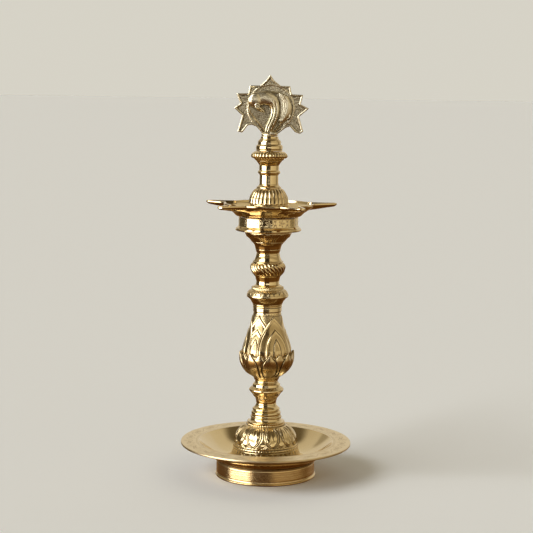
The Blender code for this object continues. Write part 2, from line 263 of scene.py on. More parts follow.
def turned(node, outer, inner=None, relief=None, columns=288, step=0.5, fillet=0.3,
           slot="polished_brass", matte=0.0, bore=BORE):
    """A turned and chased piece, seated on the bottom of its CAD node's box.
    Its outer profile runs from bottom to top. Its inner profile runs from top to bottom, and is a
    plain bore unless it is given. relief(phi, r, z) gives the outer face's height and recess."""
    outer = outline(*outer)
    inner = outline(*inner) if inner else bored(outer, bore)
    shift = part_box(node)[0].z / MM - min(z for _, z in outer + inner)
    outer, inner = ([(r, z + shift) for r, z in side] for side in (outer, inner))
    outer = densify(soften(outer, fillet), step)
    inner = densify(soften(inner, fillet), 2.0)
    loop = np.array(outer + inner, float)
    normals = loop_normals(loop)
    phi = angles(columns)
    height = np.zeros((len(loop), columns))
    recess = np.zeros((len(loop), columns))
    if relief:
        count = len(outer)
        height[:count], recess[:count] = relief(phi, loop[:count, :1], loop[:count, 1:])
    points = around(loop[:, :1] + height * normals[:, :1], phi,
                    loop[:, 1:] + height * normals[:, 1:])
    mesh = mesh_from_arrays(node + "_fine", points, ring_quads(len(loop), columns), recess)
    return place(mesh, node, slot, matte)


def bored(outer, bore):
    """The inner profile of a plain through bore, top to bottom, with small countersinks."""
    top = outer[-1][1]
    bottom = outer[0][1]
    return [(bore + 0.4, top), (bore, top - 0.4), (bore, bottom + 0.4), (bore + 0.4, bottom)]


# ---- materials

def node_maker(material):
    """A function that adds a node, sets its plain inputs and links the others."""
    tree = material.node_tree

    def make(kind, settings=None, **inputs):
        node = tree.nodes.new(kind)
        for key, value in (settings or {}).items():
            setattr(node, key, value)
        for key, value in inputs.items():
            socket = node.inputs[int(key[1:])] if key[0] == "i" and key[1:].isdigit() else \
                node.inputs[key.replace("_", " ")]
            if isinstance(value, bpy.types.NodeSocket):
                tree.links.new(value, socket)
            else:
                socket.default_value = value
        return node

    return make


def blend(make, amount, first, second, how="MIX"):
    """Mix two colours, each a socket or (red, green, blue)."""
    first, second = ((*c, 1.0) if isinstance(c, tuple) else c for c in (first, second))
    return make("ShaderNodeMix", {"data_type": "RGBA", "blend_type": how}, i0=amount,
                i6=first, i7=second).outputs[2]


def brass(name, bright, tarnish, grime_shade_colour, roughness, spread, brush=0.0, pitting=0.0):
    """Brass with soft tarnish patches, grimy hollows and painted shade, fine wear and turning marks.
    """
    material = bpy.data.materials.new(name)
    material.use_nodes = True
    tree = material.node_tree
    tree.nodes.clear()
    make = node_maker(material)
    surface = make("ShaderNodeTexCoord").outputs["Object"]

    def noise(scale, detail, rough=0.5, where=surface):
        return make("ShaderNodeTexNoise", Vector=where, Scale=scale, Detail=detail,
                    Roughness=rough).outputs["Fac"]

    def scaled(value, factor, added=0.0):
        return make("ShaderNodeMath", {"operation": "MULTIPLY_ADD", "use_clamp": True},
                    i0=value, i1=factor, i2=added).outputs[0]

    def attribute(what):
        return make("ShaderNodeAttribute", {"attribute_name": what}).outputs["Fac"]

    patch = make("ShaderNodeMapRange", {"interpolation_type": "SMOOTHSTEP"},
                 Value=noise(22.0, 5.0, 0.62), From_Min=0.38, From_Max=0.72)
    worn = blend(make, patch.outputs[0], bright, tarnish)
    recess = attribute("recess")
    specks = scaled(noise(900.0, 3.0), 0.5, -0.25)
    # Grimy hollows and painted shade both darken the colour towards the third colour where "recess"
    # is high.
    dirt_and_shade_mask = scaled(scaled(recess, 1.0, specks), recess)
    colour = blend(make, dirt_and_shade_mask, worn, grime_shade_colour)
    shine = make("ShaderNodeMapRange", Value=noise(110.0, 6.0, 0.7), From_Min=0.3, From_Max=0.7,
                 To_Min=roughness, To_Max=roughness + spread)
    rough = scaled(dirt_and_shade_mask, 0.35, scaled(attribute("matte"), 0.24, shine.outputs[0]))
    rings = make("ShaderNodeMapping", Vector=surface, Scale=(6.0, 6.0, 2200.0))
    turning = make("ShaderNodeBump", Strength=0.02 + brush, Distance=0.0004,
                   Height=noise(1.0, 3.0, where=rings.outputs[0]))
    bump = make("ShaderNodeBump", Strength=0.05 + pitting, Distance=0.0006,
                Height=noise(340.0, 4.0), Normal=turning.outputs[0])
    shader = make("ShaderNodeBsdfPrincipled", Base_Color=colour, Metallic=1.0, Roughness=rough,
                  Normal=bump.outputs[0])
    make("ShaderNodeOutputMaterial", Surface=shader.outputs[0])
    return material


# Dark brown for grimy hollows and for painted shade, such as on the foot ring under the tray.
GRIME_AND_SHADE = (0.065, 0.036, 0.012)
# Each finish: bright, tarnished, and grimy-hollow and painted-shade colour, least roughness and
# its spread, then how much more the turning marks and the pits stand out than on the polished pieces.
FINISHES = {
    "polished_brass": ((0.80, 0.64, 0.365), (0.68, 0.515, 0.27), GRIME_AND_SHADE, 0.06, 0.09),
    "satin_brass": ((0.78, 0.60, 0.32), (0.68, 0.49, 0.23), GRIME_AND_SHADE, 0.20, 0.06, 0.22),
    "tray_brass": ((0.84, 0.70, 0.44), (0.79, 0.64, 0.38), (0.30, 0.20, 0.09), 0.08, 0.04,
                   0.0, -0.03),
    "antique_brass": ((0.88, 0.80, 0.60), (0.75, 0.67, 0.46), (0.12, 0.098, 0.052), 0.12, 0.14,
                      0.0, 0.10),
    "drawn_brass": ((0.74, 0.57, 0.30), (0.62, 0.46, 0.22), GRIME_AND_SHADE, 0.30, 0.15, 0.2)}
MATERIALS = {name: brass(name, *looks) for name, looks in FINISHES.items()}


# ---- base

def foot_relief(phi, r, z):
    """Hairline turning grooves under the tray and above the lip; painted shade on top under the tray.
    """
    marks = grooves(z, (2.9, 0.25), (11.2, 0.35))
    # The smooth step paints shade on the ring's top, where it sits under the tray's overhang.
    return -0.15 * marks, unit(0.6 * marks + smooth(11.3, 12.4, z))


def foot_ring():
    outer = [(37.9, 0.0), (38.3, 0.5), (38.3, 1.3, 0.1), (37.6, 2.1), (37.6, 12.4)]
    inner = [(35.2, 11.4), (35.2, 0.0)]
    turned("foot_ring", outer, inner, foot_relief, columns=360, step=0.4, slot="satin_brass")


WELL_FLOOR = 12.2
WELL_FLOOR_RADIUS = 31.0
WELL_RIM = 26.4
WELL_RIM_RADIUS = 51.3
RIM_BAND_RADIUS = 58.6
RIM_BAND_HALF = 4.4
RIM_REPEATS = 22


def well_height(radius):
    """Height of the tray's inner face between its flat floor and its rim."""
    t = unit((radius - WELL_FLOOR_RADIUS) / (WELL_RIM_RADIUS - WELL_FLOOR_RADIUS))
    return WELL_FLOOR + (WELL_RIM - WELL_FLOOR) * t ** 1.5


def rim_pattern(phi, r):
    """Lines of the floral band on the rim: a running vine with leaves, buds and rosettes."""
    across = (r - RIM_BAND_RADIUS) / RIM_BAND_HALF
    along = wrap(phi, 0.0, RIM_REPEATS)
    pitch = math.pi * RIM_BAND_RADIUS / RIM_REPEATS
    marks = line((across - 0.55 * np.sin(math.pi * along)) * RIM_BAND_HALF, 0.8)
    for side in (1.0, -1.0):
        x = (along + 0.5 * side) * pitch
        y = (across - 0.45 * side) * RIM_BAND_HALF
        leaf = np.abs(y + 2.3 * side) + 0.28 * (x - 3.3 * side) ** 2 / 2.2
        marks = most(marks, flower(x, y, 1.7, 0.75, 5.0, 0.7), line(np.hypot(x, y) - 0.6, 0.4),
                     line(leaf - 0.9, 0.65))
    return marks * band(r, 53.9, 63.2, 0.3)


def tray_relief(phi, r, z):
    """Engraved band between double lines on the rim, and its softly rolled edge."""
    on_top = z > well_height(r) - 0.9
    lines = grooves(r, (52.3, 0.3), (53.3, 0.3), (63.7, 0.3))
    marks = unit(rim_pattern(phi, r) + lines) * on_top
    return -0.12 * marks, 0.65 * marks


def tray():
    """The tray's outer profile here runs from its underside round the rim to the floor."""
    radii = np.linspace(WELL_FLOOR_RADIUS, WELL_RIM_RADIUS, 24)
    under = [(31.5, 10.4)] + [(r + 0.9, float(well_height(r)) - 1.6) for r in radii[1:]]
    under += [(64.4, 24.6), (65.0, 24.9), (65.0, 26.0), (64.7, WELL_RIM)]
    top = [(r, float(well_height(r))) for r in radii[::-1]]
    profile = soften([(BORE, 10.4)] + under + top + [(BORE, WELL_FLOOR)], 0.35)
    piece = turned("tray", densify(profile, 0.55), [(BORE, 11.3)], tray_relief, columns=720,
                   step=0.6, fillet=0.05, slot="tray_brass")
    distance = np.hypot(*vertex_points(piece)[:, :2].T) / MM
    add_value(piece.data, "matte", smooth(50.6, 51.8, distance))


def vertex_points(piece):
    """A piece's vertex positions, in metres, as an array."""
    points = np.empty(len(piece.data.vertices) * 3, np.float32)
    piece.data.vertices.foreach_get("co", points)
    return points.reshape(-1, 3)


def petal(phi, v, centre, count, waist, pitch):
    """Signed distance in mm outside a pointed petal (negative inside), and its width share.
    v runs from 0 at its root to 1 at its tip, waist is its half width as a share of the pitch."""
    u = wrap(phi, centre, count)
    inside = unit(v)
    half = waist * np.sin(math.pi * (0.18 + 0.82 * inside) ** 0.9) ** 0.75
    half = np.where((v < 0) | (v > 1), 0.0, half)
    distance = (np.abs(u) - half) * pitch
    return distance, np.abs(u) / np.maximum(half, 1e-3)


BELL_PETALS = 10
BELL_PHI = 12.5
BELL_PETAL_ROOT = 39.6
BELL_PETAL_TIP = 24.6
SKIRT_RADIUS = 26.6
SKIRT_REPEATS = 18


def bell_relief(phi, r, z):
    """Two rows of hanging petals with double outlines, a beaded lip and an engraved skirt."""
    v = (BELL_PETAL_ROOT - z) / (BELL_PETAL_ROOT - BELL_PETAL_TIP)
    pitch = math.pi * r / BELL_PETALS
    zone = band(z, 24.9, 38.9, 0.25)
    back, _ = petal(phi, v, BELL_PHI + 180.0 / BELL_PETALS, BELL_PETALS, 0.92, pitch)
    front, share = petal(phi, v, BELL_PHI, BELL_PETALS, 0.86, pitch)
    raised = -0.45 + 0.14 * smooth(0.3, -0.3, back) + 0.20 * smooth(0.3, -0.3, front)
    raised += 0.12 * (1.0 - unit(share) ** 2) * (front < 0)
    shown = front > 0.4
    outlines = most(line(front + 1.35, 0.60), line(front - 0.25, 0.80),
                    line(back + 1.3, 0.55) * shown, line(back - 0.2, 0.70) * shown)
    ribs = unit(np.sin(wrap(phi, BELL_PHI, 50) * math.pi)) * band(z, 33.0, 38.6, 1.2)
    ribs = ribs * (front < -1.0)
    raised = (raised - 0.30 * outlines - 0.12 * ribs) * zone
    dark = (outlines + 0.5 * ribs) * zone
    beads = np.abs(np.cos(phi * 25))
    raised += 0.35 * (beads ** 0.7 * band(z, 39.7, 40.7, 0.25))
    dark += 0.9 * line(z - 39.35, 0.35) + 0.5 * band(z, 39.7, 40.7, 0.1) * (1 - beads)
    raised += 0.22 * (np.abs(np.cos(phi * 33)) ** 1.5 * band(z, 22.2, 23.2, 0.2))
    rings = grooves(z, (21.7, 0.45), (23.7, 0.45))
    skirt = skirt_pattern(phi, z) * band(z, 13.8, 21.0, 0.2)
    raised -= 0.20 * rings + 0.16 * skirt
    dark += rings + skirt
    return raised, unit(dark)


def skirt_pattern(phi, z):
    """Engraved flowers round the bell's flared skirt, with a pair of leaves between them."""
    pitch = math.pi * SKIRT_RADIUS / SKIRT_REPEATS
    x = wrap(phi, BELL_PHI, SKIRT_REPEATS) * pitch
    y = z - 18.6
    side = np.abs(np.abs(x) - pitch)
    return most(flower(x, y, 1.7, 0.5, 4.0, 0.6), line(np.hypot(x, y), 0.7),
                line(side - 0.30 * np.abs(y - 0.6) - 0.35, 0.6),
                line(np.hypot(side, y - 1.6) - 0.8, 0.5))


def base_bell():
    outer = [(28.2, 12.5), (28.6, 12.9), (28.4, 13.6), (24.9, 22.0, -0.7), (24.5, 24.4),
             (19.4, 36.8, 1.5), (14.9, 39.3, 0.3), (14.4, 39.5), (14.6, 40.2), (14.2, 40.9)]
    inner = [(BORE, 40.9), (BORE, 37.0), (12.6, 36.6), (17.0, 34.4, -0.3), (21.9, 24.4, -1.4),
             (25.9, 12.5)]
    turned("base_bell", outer, inner, bell_relief, columns=640,
           step=0.28, fillet=0.2)


def collar_relief(phi, r, z):
    marks = grooves(z, (45.0, 0.3), (46.3, 0.3), (50.2, 0.3), (41.9, 0.25))
    return -0.18 * marks, 0.8 * unit(marks)


def neck_collar():
    outer = [(14.1, 41.2), (14.4, 41.5), (14.2, 42.1), (11.5, 44.6, -0.9), (11.9, 45.2),
             (11.9, 45.8), (11.0, 46.5), (11.0, 47.2), (11.3, 48.4, 0.1), (10.0, 50.0, 0.35),
             (10.0, 50.4), (10.6, 51.1), (10.4, 52.0), (7.6, 56.0, -0.6)]
    turned("neck_collar", outer, None, collar_relief, columns=256, step=0.3)


def disc_relief(phi, r, z):
    """Beads and a line on the cone, a chased zigzag on the slope above the edge."""
    beads = np.abs(np.cos(phi * 13)) * band(z, 60.6, 62.2, 0.3)
    rings = grooves(z, (60.1, 0.3), (62.7, 0.3), (69.0, 0.3), (71.9, 0.25))
    slope = band(z, 67.0, 68.7, 0.2)
    zigzag = line((np.abs(wrap(phi, 0.0, 26)) * 1.7 - (z - 66.9)), 0.35) * slope
    raised = 0.20 * beads - 0.15 * rings - 0.14 * zigzag
    dark = 0.75 * rings + 0.9 * zigzag + 0.4 * band(z, 60.4, 62.4, 0.2) * (beads < 0.5)
    return raised, unit(dark)


def disc_knop():
    outer = [(7.6, 56.3), (8.2, 59.3, -0.1), (10.2, 62.4, -0.1), (12.7, 65.2, -0.1), (13.3, 66.2),
             (13.2, 66.9), (10.9, 68.9), (10.6, 69.4), (10.5, 70.8), (9.0, 72.3, -0.2)]
    turned("disc_knop", outer, None, disc_relief, columns=320, step=0.2, fillet=0.15)


# ---- vase

CALYX_PETALS = 8
CALYX_PHI = 7.0
CALYX_BACK_PHI = 29.5
CALYX_ROOT = 76.6
CALYX_TIP = 96.4


def calyx_relief(phi, r, z):
    """Eight broad petals in front of eight others, each crowned and pointed at the top."""
    v = (z - CALYX_ROOT) / (CALYX_TIP - CALYX_ROOT)
    pitch = math.pi * r / CALYX_PETALS
    front, share = petal(phi, v, CALYX_PHI, CALYX_PETALS, 0.78, pitch)
    back, back_share = petal(phi, v, CALYX_BACK_PHI, CALYX_PETALS, 1.05, pitch)
    zone = smooth(76.2, 77.6, z)
    raised = -0.75 + 0.35 * smooth(0.3, -0.3, back) + 0.30 * (1 - unit(back_share) ** 2)
    in_front = smooth(0.28, -0.28, front)
    crown = -0.05 + 0.55 * (1 - unit(share) ** 2)
    lip = line(front + 0.55, 0.5) * 0.16
    raised = raised * (1 - in_front) + (crown + lip) * in_front
    veins = np.abs(np.sin(wrap(phi, CALYX_PHI, 72) * math.pi)) * 0.05
    groove = np.maximum(line(front - 0.3, 0.85), line(back - 0.3, 0.75) * (front > 0))
    root = 0.5 * smooth(81.0, 77.0, z) * line(wrap(phi, CALYX_PHI, 32) * 0.8, 0.9)
    raised = (raised - 0.34 * groove - 0.4 * veins) * zone
    # Darker over the whole calyx, and more so towards its root.
    tone_to_root = (0.22 + 0.30 * smooth(92.0, 80.0, z)) * zone
    dark = np.maximum(groove, root * 0.7) * zone + tone_to_root + 0.8 * line(z - 76.0, 0.5)
    return raised, unit(dark)


def calyx_edge(phi):
    """How far the calyx's top edge dips between petal tips, in mm."""
    tip = np.minimum(*(np.abs(wrap(phi, middle, CALYX_PETALS))
                       for middle in (CALYX_PHI, CALYX_BACK_PHI)))
    return 2.4 * smooth(0.0, 0.5, tip)


def lotus_calyx():
    outer = [(8.9, 72.6), (8.7, 73.4), (9.3, 74.4), (9.8, 75.8), (11.0, 77.2), (13.2, 78.6, -0.1),
             (19.7, 87.0, 0.9), (20.6, 91.5, 0.2), (20.6, 95.2), (20.1, 96.2)]
    inner = [(19.3, 96.2), (19.4, 91.5), (12.4, 80.4, -1.7), (BORE, 78.0), (BORE, 72.6)]
    piece = turned("lotus_calyx", outer, inner, calyx_relief, columns=560,
                   step=0.32, fillet=0.25, matte=0.4)
    points = vertex_points(piece)
    phi = np.arctan2(points[:, 0], -points[:, 1])
    lift = smooth(0.0905, 0.0962, points[:, 2])
    points[:, 2] -= lift * calyx_edge(phi) * MM
    piece.data.vertices.foreach_set("co", points.ravel())
    piece.data.update()


def long_petal(phi, r, z, centre, tip, spread):
    """Signed distance in mm outside one of three long petals that close to a point at the tip.
    spread is the petal's half width at its root, in degrees."""
    turn = np.abs(wrap(phi, centre, LONG_PETALS)) * 180.0 / LONG_PETALS

    def half_width(height):
        share = unit((height - LONG_PETAL_ROOT) / (tip - LONG_PETAL_ROOT))
        return spread * (1.0 - share ** 3.2) ** 1.15

    arc = np.radians(1.0) * r
    slope = (half_width(z + 0.2) - half_width(z - 0.2)) / 0.4 * arc
    distance = (turn - half_width(z)) * arc / np.hypot(1.0, slope)
    return np.where(z > tip, np.hypot(turn * arc, z - tip), distance)


LONG_PETALS = 3
LONG_PETAL_ROOT = 96.0
# Nested leaves of a long petal, each as (height of its tip, half width at its root in degrees).
PETAL_LEAVES = ((124.0, 50.0), (114.2, 28.5), (107.5, 9.5))
HATCH_TOP = 124.2


def petal_layer(phi, r, z, centre):
    """Height and grimy grooves of three petals, each with two nested leaves with raised edges."""
    height = 0.0
    dark = 0.0
    for tip, spread in PETAL_LEAVES:
        distance = long_petal(phi, r, z, centre, tip, spread)
        groove = line(distance - 0.25, 0.75)
        second = line(distance + 1.75, 0.45)
        height = height + 0.20 * line(distance + 0.75, 0.7) - 0.24 * groove - 0.08 * second
        dark = most(dark, 0.95 * groove, 0.55 * second)
    return height, dark, long_petal(phi, r, z, centre, *PETAL_LEAVES[0])


def vase_relief(phi, r, z):
    """Three long petals over three others, a hatched ground between the tips, and neck rings."""
    back, back_dark, back_edge = petal_layer(phi, r, z, -33.0)
    front, front_dark, front_edge = petal_layer(phi, r, z, 26.0)
    over = smooth(0.3, -0.2, front_edge)
    outside = smooth(0.4, 0.9, np.minimum(front_edge, back_edge))
    raised = (back + 0.12 * smooth(0.3, -0.2, back_edge)) * (1 - over) + (front + 0.36) * over
    dark = np.where(front_edge < 0.45, front_dark, back_dark)
    hatch = most(*(line(wrap(phi + lean * z, 0.0, 60), 0.5) for lean in (0.05, -0.05)))
    ground = outside * (z < HATCH_TOP)
    hatch = hatch * ground
    teeth = line(np.abs(wrap(phi, 0.0, 30)) * 1.2 - (z - HATCH_TOP), 0.5) * band(z, 124.3, 126.2, 0.2)
    raised = raised - 0.07 * hatch - 0.10 * teeth
    dark = most(dark, 0.25 * ground + 0.5 * hatch, 0.8 * teeth)
    rings = grooves(z, (129.9, 0.3), (130.7, 0.25), (126.9, 0.22), (123.9, 0.22))
    raised = (raised - 0.45) * smooth(80.8, 90.0, z) * (1 - smooth(126.4, 127.4, z)) - 0.15 * rings
    return raised, unit(dark + 0.85 * rings)


def lotus_vase():
    outer = [(11.9, 80.8), (18.6, 92.0, 1.6), (18.7, 98.6, 0.1), (15.0, 110.6, 0.1),
             (12.2, 120.0, -0.2), (10.9, 127.5, -0.3), (10.9, 130.0), (11.1, 130.4), (11.1, 131.2)]
    turned("lotus_vase", outer, None, vase_relief, columns=576, step=0.34, fillet=0.2, matte=0.25)


# ---- upper stem

def flange_relief(phi, r, z):
    """Radial leaves on the slope, a notched ring above and a groove under the edge."""
    slope = band(z, 139.8, 143.4, 0.3)
    rays = line(wrap(phi, 0.0, 20) * math.pi * r / 20, 0.7) * slope
    leaves = line(np.abs(wrap(phi, 9.0, 20)) * 2.6 - (143.6 - z), 0.6) * slope
    notched = np.abs(np.sin(phi * 24))
    notches = notched * band(z, 143.9, 145.7, 0.25)
    rings = grooves(z, (143.7, 0.28), (145.9, 0.28), (139.5, 0.22))
    raised = -0.20 * rays - 0.14 * leaves + 0.30 * notches - 0.15 * rings
    gaps = band(z, 143.9, 145.7, 0.2) * (1 - notched)
    dark = 0.8 * rays + 0.7 * leaves + 0.8 * rings + 0.7 * gaps + 0.8 * line(z - 132.9, 0.25)
    return raised, unit(dark)


def flange_knop():
    outer = [(10.9, 131.5), (11.3, 131.9), (11.3, 132.6), (11.7, 133.4), (15.5, 137.8, -0.45),
             (15.9, 138.3), (15.9, 139.1), (12.7, 143.5, 0.7), (11.9, 144.2), (11.9, 145.2),
             (11.0, 146.0), (9.6, 147.0)]
    turned("flange_knop", outer, None, flange_relief, columns=400, step=0.22, fillet=0.15,
           matte=0.4)


ROPE_LOBES = 24


def rope_relief(phi, r, z):
    """Slanting gadroons round the belly with a scalloped root, and a thin ring above."""
    slant = phi * ROPE_LOBES / TAU + (z - 158.0) * 0.20
    lobe = np.abs(np.sin(math.pi * slant))
    zone = band(z, 155.0, 163.6, 0.35)
    raised = (0.75 * lobe ** 0.7 - 0.45) * zone
    dark = (1.0 - smooth(0.0, 0.42, lobe)) * zone * 0.95
    scallop = np.abs(np.sin(math.pi * phi * ROPE_LOBES / TAU))
    under = line(z - (154.0 + 0.9 * scallop), 0.35)
    rings = grooves(z, (164.1, 0.3), (165.4, 0.3), (170.2, 0.25))
    raised -= 0.2 * under + 0.2 * rings
    dark += 0.8 * under + 0.85 * rings
    return raised, unit(dark)


def rope_knop():
    outer = [(9.0, 147.3), (8.8, 150.2, -0.1), (9.6, 153.4), (11.4, 155.8, 0.1),
             (13.0, 159.6, 0.25), (12.7, 162.4, 0.3), (11.3, 163.9), (11.7, 164.4), (11.5, 165.1),
             (10.6, 165.6), (9.3, 168.8, -0.1), (8.8, 171.2)]
    turned("rope_knop", outer, None, rope_relief, columns=480, step=0.24, fillet=0.2)


CUP_LEAVES = 10
CUP_LEAF_ROOT = 179.9
CUP_LEAF_TIP = 186.6


def cup_relief(phi, r, z):
    """A small ridge, then upright leaves with fine lines between them."""
    v = (z - CUP_LEAF_ROOT) / (CUP_LEAF_TIP - CUP_LEAF_ROOT)
    leaf, _ = petal(phi, v, 0.0, CUP_LEAVES, 0.80, math.pi * r / CUP_LEAVES)
    zone = band(z, 180.2, 186.8, 0.25)
    raised = 0.10 * smooth(0.3, -0.3, leaf) * zone
    hatch = unit(np.sin(phi * 60)) * (leaf > 0.4) * zone
    edge = line(leaf, 0.65) * zone
    rings = grooves(z, (179.2, 0.28), (174.3, 0.28), (187.0, 0.2))
    raised += 0.2 * line(z - 179.8, 0.4) - 0.12 * edge - 0.06 * hatch - 0.15 * rings
    dark = 0.85 * edge + 0.45 * hatch + 0.8 * rings
    return raised, unit(dark)


def cup_capital():
    outer = [(8.6, 171.5), (9.0, 172.0), (9.4, 173.4), (9.9, 175.6), (10.7, 177.9, -0.1),
             (12.2, 179.4, -0.1), (13.3, 181.0, -0.1), (16.6, 184.0, -0.2), (17.5, 185.8, -0.1),
             (17.8, 186.6), (17.8, 187.4)]
    turned("cup_capital", outer, None, cup_relief, columns=420, step=0.24, fillet=0.15, matte=0.25)


# ---- dish

DRUM_RADIUS = 22.6
DRUM_REPEATS = 14


def drum_pattern(phi, z):
    """Engraved flowers and leaf scratches round the drum."""
    pitch = math.pi * DRUM_RADIUS / DRUM_REPEATS
    x = wrap(phi, 0.0, DRUM_REPEATS) * pitch
    y = z - 195.2
    reach = np.hypot(x, y)
    return most(flower(x, y, 1.5, 0.7, 5.0, 0.6), line(reach - 0.45, 0.35),
                line(np.abs(x) - pitch + 0.25 * y ** 2 - 0.2, 0.6),
                line(np.abs(y) - 1.3 * np.cos(x * 1.4), 0.3) * (reach > 2.4))


def drum_relief(phi, r, z):
    engraved = drum_pattern(phi, z) * band(z, 192.6, 197.8, 0.2)
    rings = grooves(z, (198.1, 0.25), (192.0, 0.3), (190.5, 0.22), (188.9, 0.2))
    raised = -0.08 * engraved - 0.15 * rings
    return raised, unit(0.85 * engraved + 0.75 * rings)


def dish_foot():
    outer = [(18.4, 187.7), (24.1, 188.2), (24.9, 188.5), (25.1, 189.2), (24.6, 190.3),
             (22.7, 192.4, -0.35), (22.6, 193.2), (22.6, 198.6)]
    inner = [(20.6, 198.6), (20.6, 191.4), (8.4, 191.0), (8.0, 198.6), (BORE, 198.6),
             (BORE, 187.7)]
    turned("dish_foot", outer, inner, drum_relief, columns=560,
           step=0.26, fillet=0.2)


SPOUT_COUNT = 5
SPOUT_FIRST_PHI = 100.3
DISH_RADIUS = 34.0
SPOUT_REACH = 52.5
RIM_TOP = 209.0
KNEE_RADIUS = 29.0


def dish_edge(phi):
    """Radius of the dish's edge in a direction: a circle drawn out into five narrow spouts."""
    offset = np.abs(wrap(phi, SPOUT_FIRST_PHI, SPOUT_COUNT)) * 180.0 / SPOUT_COUNT
    t = unit((offset - 2.4) / 13.6)
    reach = DISH_RADIUS + (SPOUT_REACH - DISH_RADIUS) * (1.0 - t) ** 2
    rounding = unit(1.0 - offset / 2.6)
    return reach - 1.2 * (1.0 - np.sqrt(1.0 - (1.0 - rounding) ** 2)) * (offset < 2.6)


def edge_distance(points, edge, reach=3.0):
    """Distance in mm from each point (x, y) to a closed edge, worked out in blocks."""
    result = np.empty(len(points))
    for start in range(0, len(points), 4000):
        block = points[start:start + 4000]
        gap = block[:, None, :] - edge[None, :, :]
        result[start:start + 4000] = np.sqrt((gap ** 2).sum(-1)).min(1)
    return result


WALL_RADII = (20.5, 23.0, 24.6, 26.0, 29.2, 31.6, 40.0)
WALL_HEIGHTS = (200.6, 200.7, 201.2, 202.4, 206.4, 209.0, 209.0)
SPOUT_BED_LOW = 204.9
SPOUT_BED_HIGH = 208.3
DISH_UNDERSIDE = 198.9


def dish_top(r, reach, near):
    """Height of the dish's upper face, from its floor up the wall and out along a spout."""
    wall = np.interp(r, WALL_RADII, WALL_HEIGHTS)
    rise = SPOUT_BED_HIGH - SPOUT_BED_LOW
    bed = SPOUT_BED_LOW + rise * (r - KNEE_RADIUS) / (reach - KNEE_RADIUS)
    hollow = np.where(r > KNEE_RADIUS - 2.5, np.minimum(wall, bed), wall)
    lip = smooth(1.9, 1.1, near)
    top = hollow + (RIM_TOP - hollow) * lip
    return top - 0.28 * unit(1.0 - near / 0.45) ** 2


def oil_dish():
    """The dish as one sheet: its upper face, round its edge, and its underside."""
    columns = 640
    phi = angles(columns)[0]
    reach = dish_edge(phi)
    edge = around(reach, phi, reach)[:, :2]
    share = np.linspace(0.0, 1.0, 46)[1:] ** 0.85
    rows = [np.full(columns, r) for r in (3.8, 6.0, 10.0, 14.0, 17.5, 20.0)]
    top = np.array(rows + [20.0 + (reach - 20.0) * s for s in share])
    near = edge_distance(around(top, phi, top)[:, :2], edge).reshape(top.shape)
    top_z = dish_top(top, reach, near)
    last = len(top) - 1
    under = sorted({0, 3, 5, *range(8, last, 3), last}, reverse=True)
    low = top[under]
    low_near = near[under]
    low_z = dish_top(low, reach, low_near + 2.2) - SHEET
    low_z = np.where(low < 21.9, DISH_UNDERSIDE, np.maximum(low_z, DISH_UNDERSIDE))
    low_z = low_z + 0.9 * unit(1.0 - low_near / 1.2) ** 2
    low_z[0] = top_z[-1] - 1.1
    r = np.concatenate([top, low])
    z = np.concatenate([top_z, low_z])
    recess = np.zeros(r.shape)
    recess[:len(top)] = 0.45 * line(near - 2.2, 0.8) + 0.25 * line(top - 28.0, 3.0)
    quads = ring_quads(len(r), columns)[:, ::-1]
    mesh = mesh_from_arrays("oil_dish_fine", around(r, phi, z), quads, recess)
    mesh.set_sharp_from_angle(angle=math.radians(50.0))
    place(mesh, "oil_dish", "polished_brass")


# ---- finial

def finial_relief(phi, r, z):
    """Flutes on the bell, rings on the neck, beads and gadroons on the ring at the top."""
    flutes = np.abs(np.sin(phi * 12))
    zone = band(z, 208.9, 219.6, 0.7)
    raised = (0.55 * flutes ** 0.8 - 0.3) * zone
    dark = (1.0 - smooth(0.0, 0.4, flutes)) * 0.9 * zone
    lobes = np.abs(np.sin(phi * 15))
    top_zone = band(z, 242.7, 246.9, 0.4)
    raised += (0.5 * lobes ** 0.8 - 0.25) * top_zone
    dark += (1.0 - smooth(0.0, 0.4, lobes)) * top_zone
    beads = np.abs(np.cos(phi * 20)) * band(z, 241.2, 242.2, 0.2)
    raised += 0.2 * beads
    rings = grooves(z, (220.2, 0.3), (221.6, 0.28), (208.3, 0.3), (240.8, 0.25),
                    (203.4, 0.25), (242.5, 0.25))
    raised -= 0.2 * rings
    return raised, unit(dark + 0.8 * rings)


def finial_stem():
    outer = [(14.9, 200.9), (15.1, 201.3), (15.1, 208.2), (14.2, 213.6, 0.1), (12.2, 217.3, 0.1),
             (9.2, 220.6, 0.1), (9.3, 221.2), (7.6, 222.4), (7.2, 223.6), (7.1, 230.2),
             (7.5, 230.9), (8.5, 231.5), (8.6, 232.4), (8.3, 233.0), (7.5, 233.8), (7.5, 237.4),
             (9.8, 240.6, -0.15), (11.1, 242.2), (13.3, 243.5), (13.6, 244.5), (13.1, 245.8),
             (11.6, 247.3), (10.9, 247.9)]
    inner = [(3.3, 247.9), (3.3, 243.9), (0.4, 243.9), (0.4, 212.2), (3.8, 212.2), (3.8, 200.9)]
    turned("finial_stem", outer, inner, finial_relief, columns=480,
           step=0.3, fillet=0.2)


def cap_relief(phi, r, z):
    rings = grooves(z, (249.3, 0.3), (253.1, 0.35), (256.6, 0.25))
    return -0.25 * rings, 0.9 * unit(rings)


def finial_cap():
    outer = [(9.7, 248.2), (10.1, 248.6), (9.9, 249.2), (9.9, 252.0, 0.15), (9.0, 253.0),
             (8.7, 253.6), (8.4, 255.6, 0.15), (7.9, 256.4), (6.7, 257.5), (6.5, 259.1)]
    turned("finial_cap", outer, None, cap_relief, columns=256, step=0.25, fillet=0.25, bore=3.3)


# ---- fan and peacock

